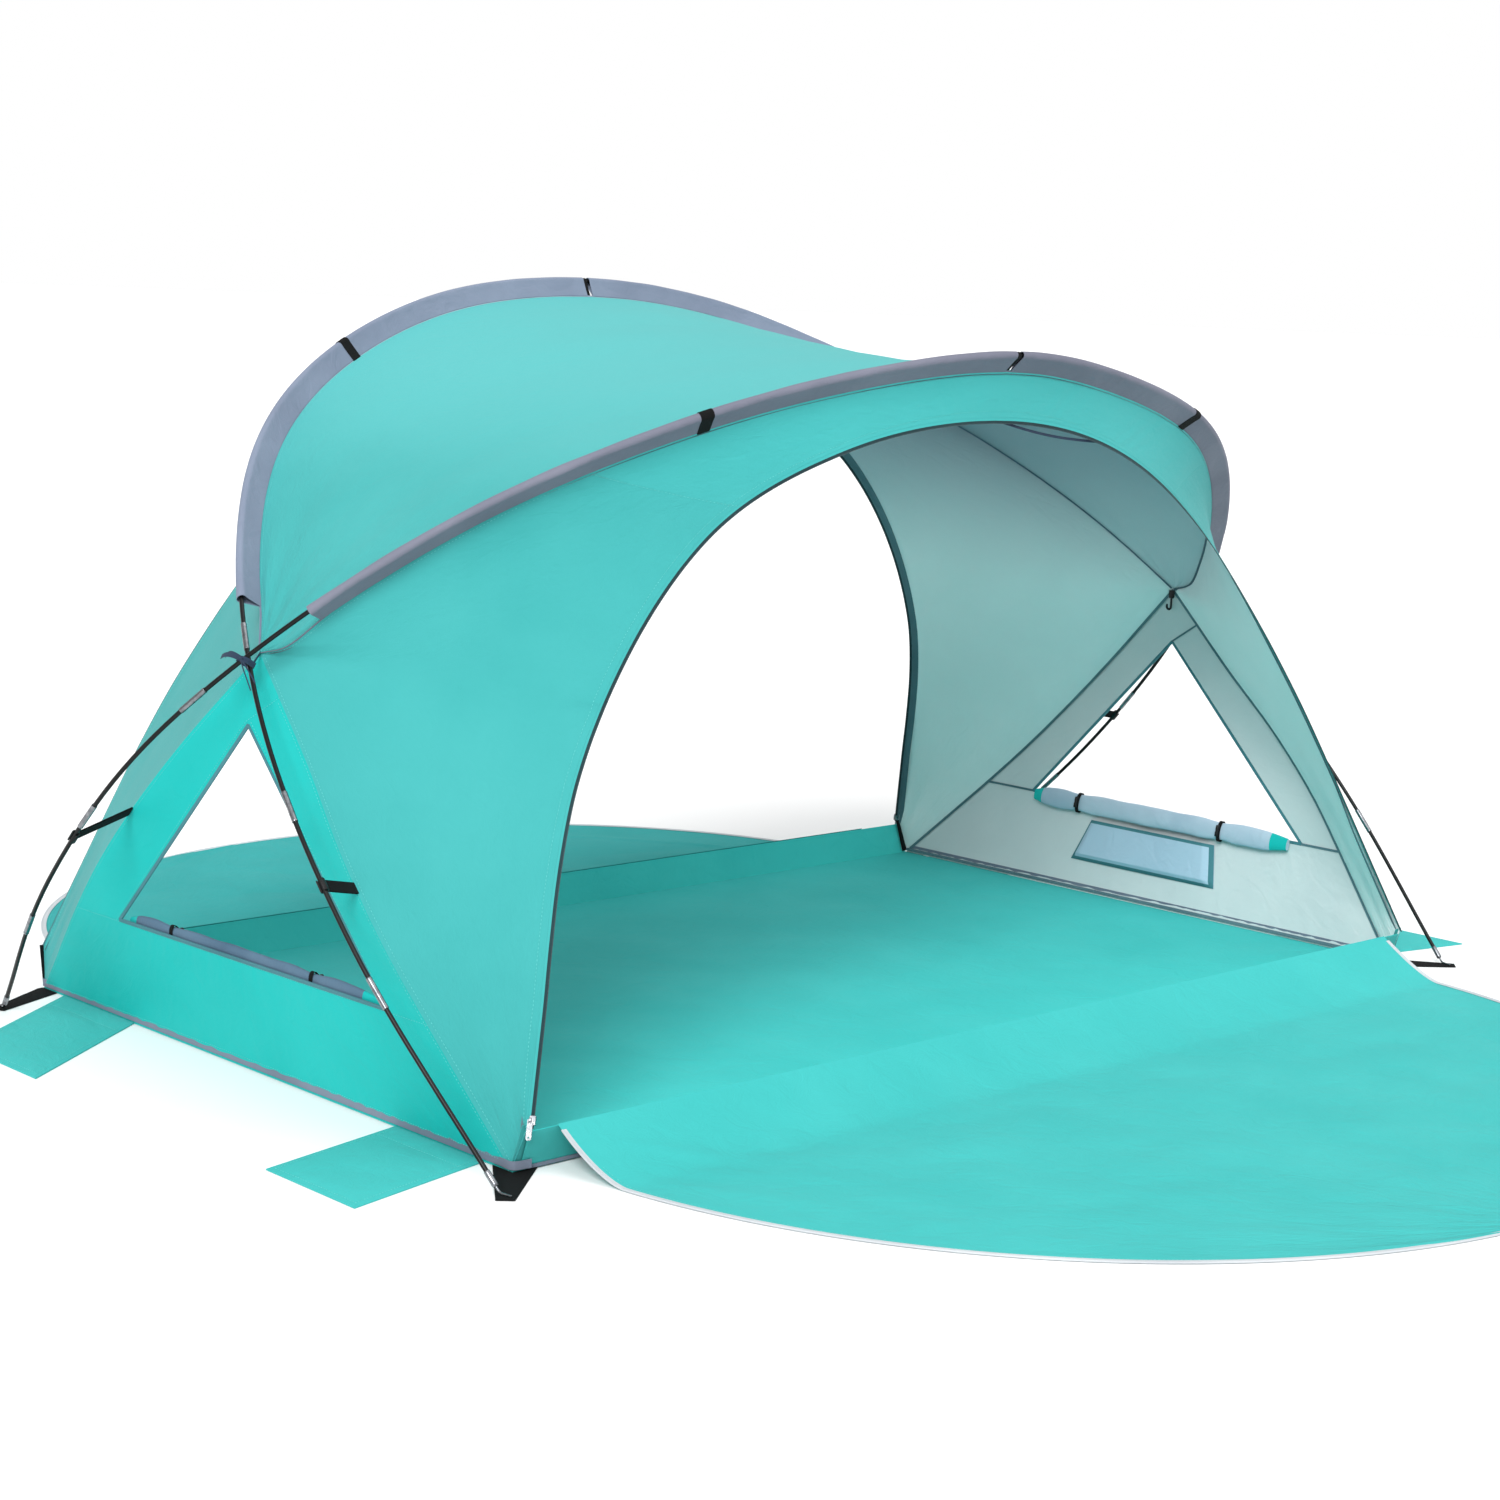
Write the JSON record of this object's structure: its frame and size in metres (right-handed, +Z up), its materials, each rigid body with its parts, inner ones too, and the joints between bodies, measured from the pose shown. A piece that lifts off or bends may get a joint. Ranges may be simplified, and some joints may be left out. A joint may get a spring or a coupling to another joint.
{
  "type": "beach tent",
  "caption": "Low hooped beach tent with an arched roof, open doorways front and rear, side windows, a sewn floor and unzipped door panels lying flat on the ground.",
  "frame": {"origin": "on the ground, at the middle of the floor's underside", "axes": "+X to the tent's right seen from the front, +Y from the front doorway to the rear one, +Z up"},
  "size_m": [3.0414, 3.5407, 1.3785],
  "materials": {
    "canopy_cloth": "teal plain-weave polyester with a slight sheen",
    "side_cloth": "deeper teal plain-weave polyester",
    "sleeve_cloth": "dark blue-grey polyester, matt",
    "inner_cloth": "light blue-grey polyester, matt",
    "webbing": "black woven polypropylene",
    "zip_tape": "black coil zip on a woven tape",
    "plastic_fittings": "black moulded nylon",
    "pole_rod": "black glass-fibre rod, satin",
    "shock_cord": "braided white elastic cord",
    "steel": "bright plated steel"
  },
  "bodies": {
    "root": {"roof_panel": "canopy_cloth", "front_panel_left": "canopy_cloth", "front_panel_centre": "canopy_cloth", "front_panel_right": "canopy_cloth", "rear_panel_left": "canopy_cloth", "rear_panel_centre": "canopy_cloth", "rear_panel_right": "canopy_cloth", "floor": "canopy_cloth", "side_lower_left": "side_cloth", "side_lower_right": "side_cloth", "side_front_strip_left": "side_cloth", "side_front_strip_right": "side_cloth", "side_rear_strip_left": "side_cloth", "side_rear_strip_right": "side_cloth", "front_sleeve_left": "sleeve_cloth", "front_sleeve_right": "sleeve_cloth", "rear_sleeve_left": "sleeve_cloth", "rear_sleeve_right": "sleeve_cloth", "crossing_tie_left": "sleeve_cloth", "crossing_tie_right": "sleeve_cloth", "window_roll_left": "inner_cloth", "window_roll_right": "inner_cloth", "storage_pocket_right": "inner_cloth", "corner_strap_front_left": "webbing", "corner_strap_front_right": "webbing", "corner_strap_rear_left": "webbing", "corner_strap_rear_right": "webbing", "front_zip": "zip_tape", "rear_zip": "zip_tape", "pole_clip_front_left": "plastic_fittings", "pole_clip_front_right": "plastic_fittings", "pole_clip_rear_left": "plastic_fittings", "pole_clip_rear_right": "plastic_fittings", "front_pole_leg_left": "pole_rod", "front_pole_hoop": "pole_rod", "front_pole_leg_right": "pole_rod", "rear_pole_leg_left": "pole_rod", "rear_pole_hoop": "pole_rod", "rear_pole_leg_right": "pole_rod", "front_pole_cord": "shock_cord", "rear_pole_cord": "shock_cord", "pin_front_left": "steel", "pin_front_right": "steel", "pin_rear_left": "steel", "pin_rear_right": "steel"},
    "front_door": {"front_door": "canopy_cloth"},
    "rear_door": {"rear_door": "canopy_cloth"},
    "front_slider": {"front_zip_slider": "steel"},
    "rear_slider": {"rear_zip_slider": "steel"},
    "front_pull": {"front_zip_pull": "steel"},
    "rear_pull": {"rear_zip_pull": "steel"},
    "hook": {"lantern_hook": "plastic_fittings"},
    "toggle_front_left": {"toggle_front_left": "plastic_fittings"},
    "toggle_front_right": {"toggle_front_right": "plastic_fittings"},
    "toggle_rear_left": {"toggle_rear_left": "plastic_fittings"},
    "toggle_rear_right": {"toggle_rear_right": "plastic_fittings"},
    "sand_flap_front_left": {"sand_flap_front_left": "canopy_cloth"},
    "sand_flap_front_right": {"sand_flap_front_right": "canopy_cloth"},
    "sand_flap_rear_left": {"sand_flap_rear_left": "canopy_cloth"},
    "sand_flap_rear_right": {"sand_flap_rear_right": "canopy_cloth"}
  },
  "joints": [
    {"name": "front_door_fold", "type": "hinge", "parent": "root", "child": "front_door", "pos_m": [0, -0.7326, 0.0706], "axis": [-1, 0, 0], "range_deg": [0, 97]},
    {"name": "rear_door_fold", "type": "hinge", "parent": "root", "child": "rear_door", "pos_m": [0, 0.7326, 0.0706], "axis": [1, 0, 0], "range_deg": [0, 97]},
    {"name": "front_slider_travel", "type": "slide", "parent": "root", "child": "front_slider", "axis": [0.3513, 0.2929, 0.8893], "range_m": [0, 0.15]},
    {"name": "rear_slider_travel", "type": "slide", "parent": "root", "child": "rear_slider", "axis": [-0.279, -0.3227, 0.9045], "range_m": [0, 0.15]},
    {"name": "front_pull_swing", "type": "hinge", "parent": "front_slider", "child": "front_pull", "pos_m": [-1.18713, -0.73509, 0.08875], "axis": [-0.5702, 0.8203, -0.045], "range_deg": [0, 120]},
    {"name": "rear_pull_swing", "type": "hinge", "parent": "rear_slider", "child": "rear_pull", "pos_m": [1.18853, 0.73459, 0.08924], "axis": [0.5243, -0.8402, -0.1381], "range_deg": [0, 120]},
    {"name": "hook_swing", "type": "hinge", "parent": "root", "child": "hook", "pos_m": [1.22062, -0.05073, 0.73222], "axis": [0, 1, 0], "range_deg": [0, 70]},
    {"name": "toggle_front_left_turn", "type": "hinge", "parent": "root", "child": "toggle_front_left", "pos_m": [-1.21561, -0.22254, 0.2057], "axis": [0.9784, 0.0123, 0.2064], "range_deg": [-60, 60]},
    {"name": "toggle_front_right_turn", "type": "hinge", "parent": "root", "child": "toggle_front_right", "pos_m": [1.21561, -0.22254, 0.2057], "axis": [-0.9784, 0.0123, 0.2064], "range_deg": [-60, 60]},
    {"name": "toggle_rear_left_turn", "type": "hinge", "parent": "root", "child": "toggle_rear_left", "pos_m": [-1.221, 0.19299, 0.20649], "axis": [0.9719, 0.0122, 0.235], "range_deg": [-60, 60]},
    {"name": "toggle_rear_right_turn", "type": "hinge", "parent": "root", "child": "toggle_rear_right", "pos_m": [1.221, 0.19299, 0.20649], "axis": [-0.9719, 0.0122, 0.235], "range_deg": [-60, 60]},
    {"name": "sand_flap_front_left_fold", "type": "hinge", "parent": "root", "child": "sand_flap_front_left", "pos_m": [-1.2007, -0.5245, 0.001], "axis": [0, 1, 0], "range_deg": [0, 20]},
    {"name": "sand_flap_front_right_fold", "type": "hinge", "parent": "root", "child": "sand_flap_front_right", "pos_m": [1.2007, -0.5245, 0.001], "axis": [0, -1, 0], "range_deg": [0, 20]},
    {"name": "sand_flap_rear_left_fold", "type": "hinge", "parent": "root", "child": "sand_flap_rear_left", "pos_m": [-1.2007, 0.5105, 0.001], "axis": [0, 1, 0], "range_deg": [0, 20]},
    {"name": "sand_flap_rear_right_fold", "type": "hinge", "parent": "root", "child": "sand_flap_rear_right", "pos_m": [1.2007, 0.5105, 0.001], "axis": [0, -1, 0], "range_deg": [0, 20]}
  ]
}
